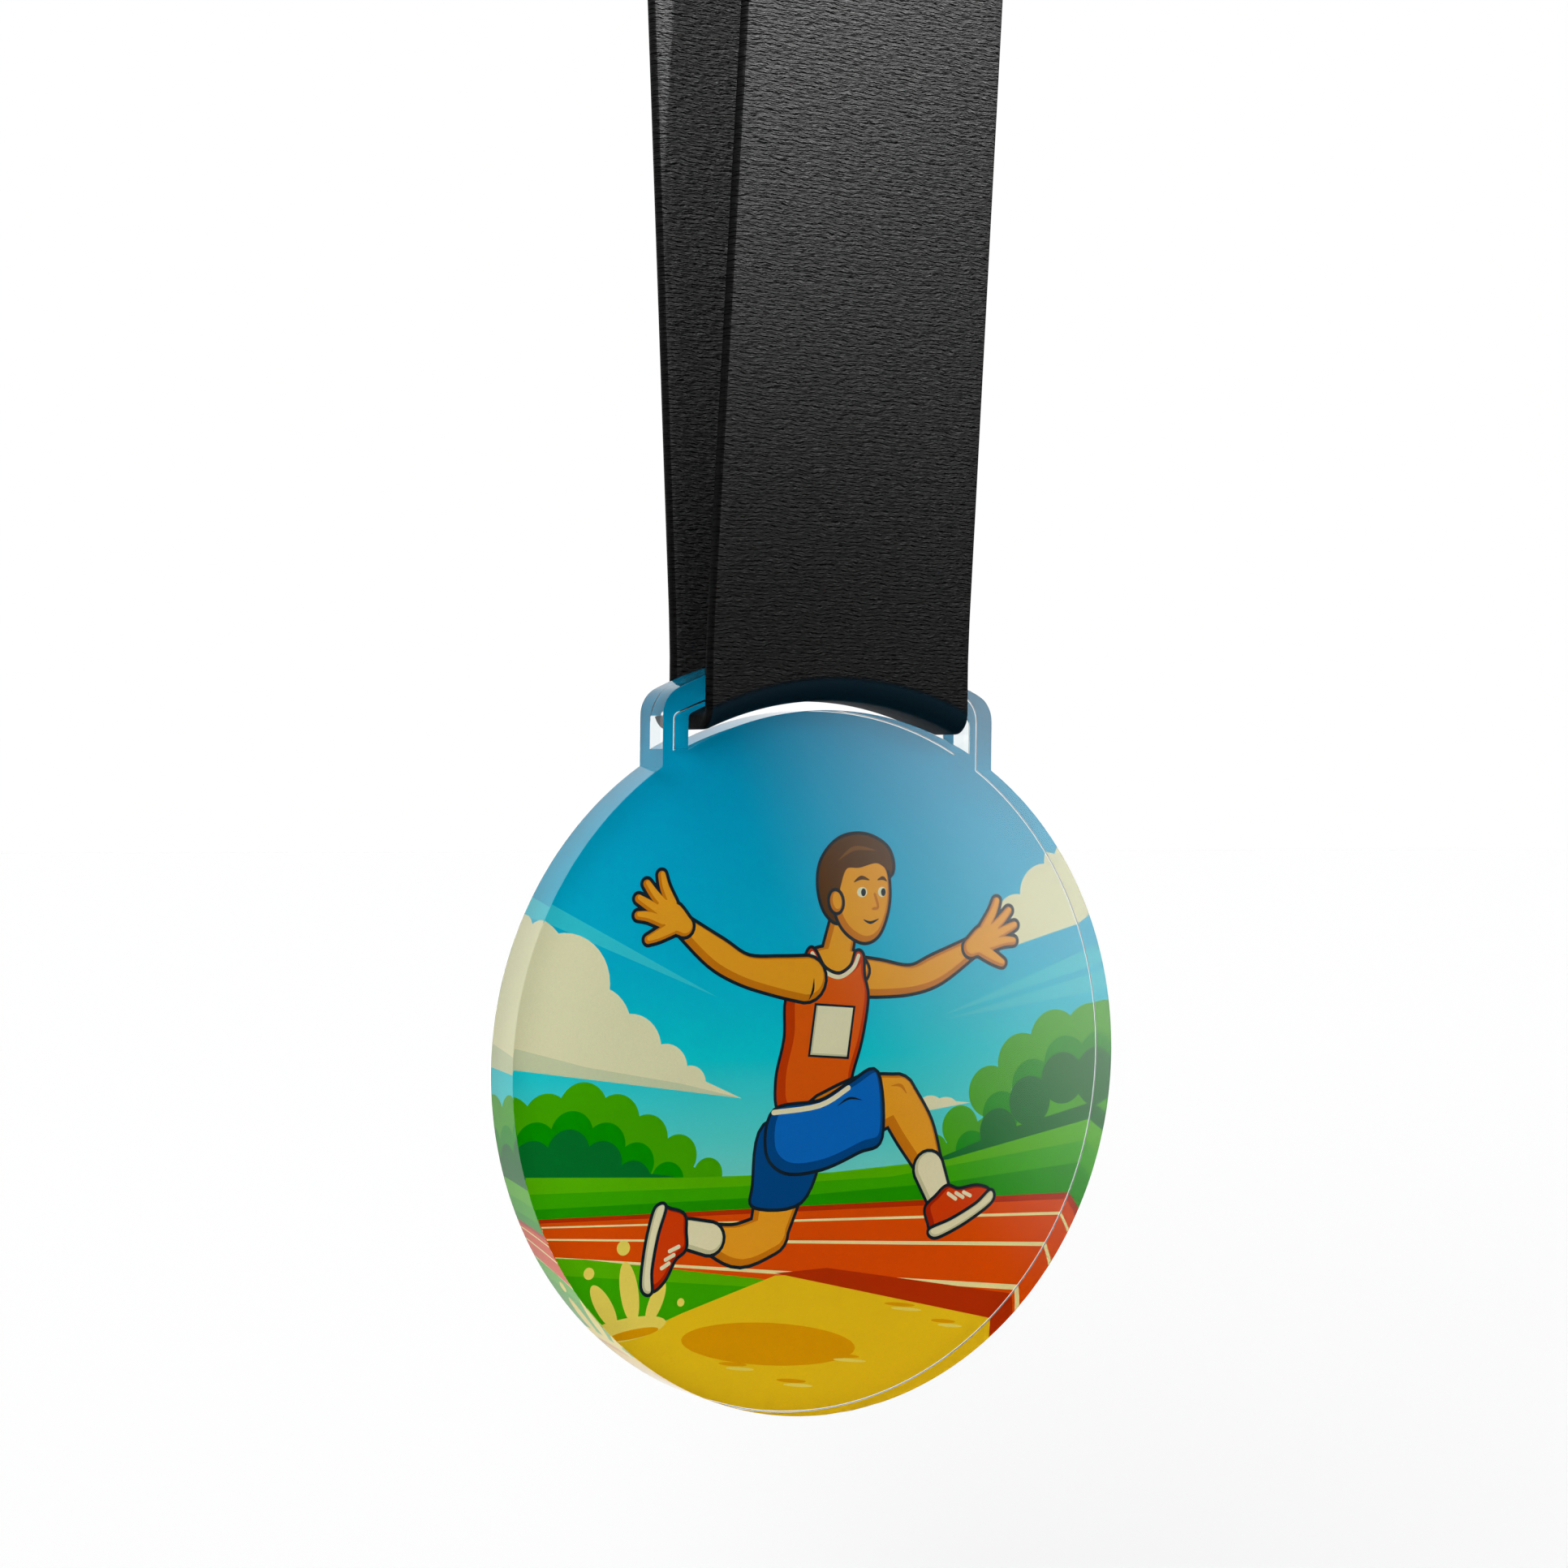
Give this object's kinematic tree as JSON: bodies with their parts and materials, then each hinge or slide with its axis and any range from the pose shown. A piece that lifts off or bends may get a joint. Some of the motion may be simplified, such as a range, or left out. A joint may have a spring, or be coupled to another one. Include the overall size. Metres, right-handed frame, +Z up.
{
  "type": "sports finisher medal",
  "caption": "Clear acrylic disc medal printed on its back, with an integral slotted lug and a black woven neck ribbon looped through it and hung over a peg.",
  "frame": {"origin": "the point where the ribbon's crown rests on top of the peg or neck that holds the medal up", "axes": "+Z up; the medal's front looks to -Y; +X is to the right as seen from the front"},
  "size_m": [0.06, 0.0266, 0.3931],
  "materials": {
    "clear_acrylic": "clear cast acrylic, polished faces and flame-polished edge",
    "colour_print": "UV-cured colour ink bonded to the acrylic",
    "white_ink": "satin white UV-cured ink",
    "black_ribbon": "ribbed black polyester weave",
    "black_thread": "black polyester sewing thread"
  },
  "bodies": {
    "neck_ribbon": {"front_strap_upper": "black_ribbon", "back_strap_upper": "black_ribbon", "crown_under_end": "black_ribbon", "crown_over_end": "black_ribbon", "seam_thread_right": "black_thread", "seam_thread_left": "black_thread"},
    "lower_ribbon": {"front_strap_lower": "black_ribbon", "back_strap_lower": "black_ribbon"},
    "medal": {"acrylic_body": "clear_acrylic", "colour_print_layer": "colour_print", "white_ink_backing": "white_ink", "ribbon_fold": "black_ribbon"}
  },
  "joints": [
    {"name": "ribbon_twist", "type": "hinge", "parent": "neck_ribbon", "child": "lower_ribbon", "pos_m": [0, 0, -0.2622], "axis": [0, 0, 1], "range_deg": [-120, 120], "stiffness_Nm_per_rad": 0.00015},
    {"name": "medal_swing", "type": "hinge", "parent": "lower_ribbon", "child": "medal", "pos_m": [0, 0, -0.32382], "axis": [1, 0, 0], "range_deg": [-75, 75]}
  ]
}
